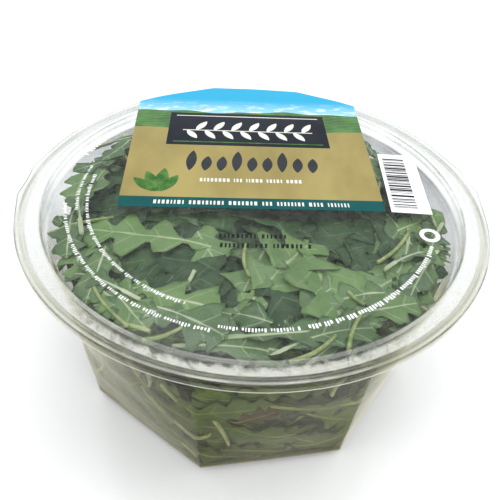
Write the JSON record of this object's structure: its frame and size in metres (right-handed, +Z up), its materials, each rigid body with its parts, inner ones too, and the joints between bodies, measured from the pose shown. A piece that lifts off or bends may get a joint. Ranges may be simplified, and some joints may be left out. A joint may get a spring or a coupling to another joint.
{
  "type": "salad bowl pack with rocket leaves",
  "caption": "Shut clear salad bowl with an octagonal base, a round rim and a flat peel-off film lid, filled with loose rocket leaves.",
  "frame": {"origin": "middle of the flat base's underside", "axes": "+Z up; -Y towards the side from which the lid's label is read; +X to that reader's right"},
  "size_m": [0.192, 0.19, 0.0922],
  "materials": {
    "clear_bowl": "clear thermoformed sheet, glossy, with soft mottled reflections",
    "clear_film": "clear glossy lidding film with opaque printed fields",
    "rocket_leaf": "fresh leaf, semi-matte, mid green with pale ribs and stems"
  },
  "bodies": {
    "root": {"tray": "clear_bowl", "film_lid": "clear_film", "rocket_leaves": "rocket_leaf"}
  },
  "joints": []
}
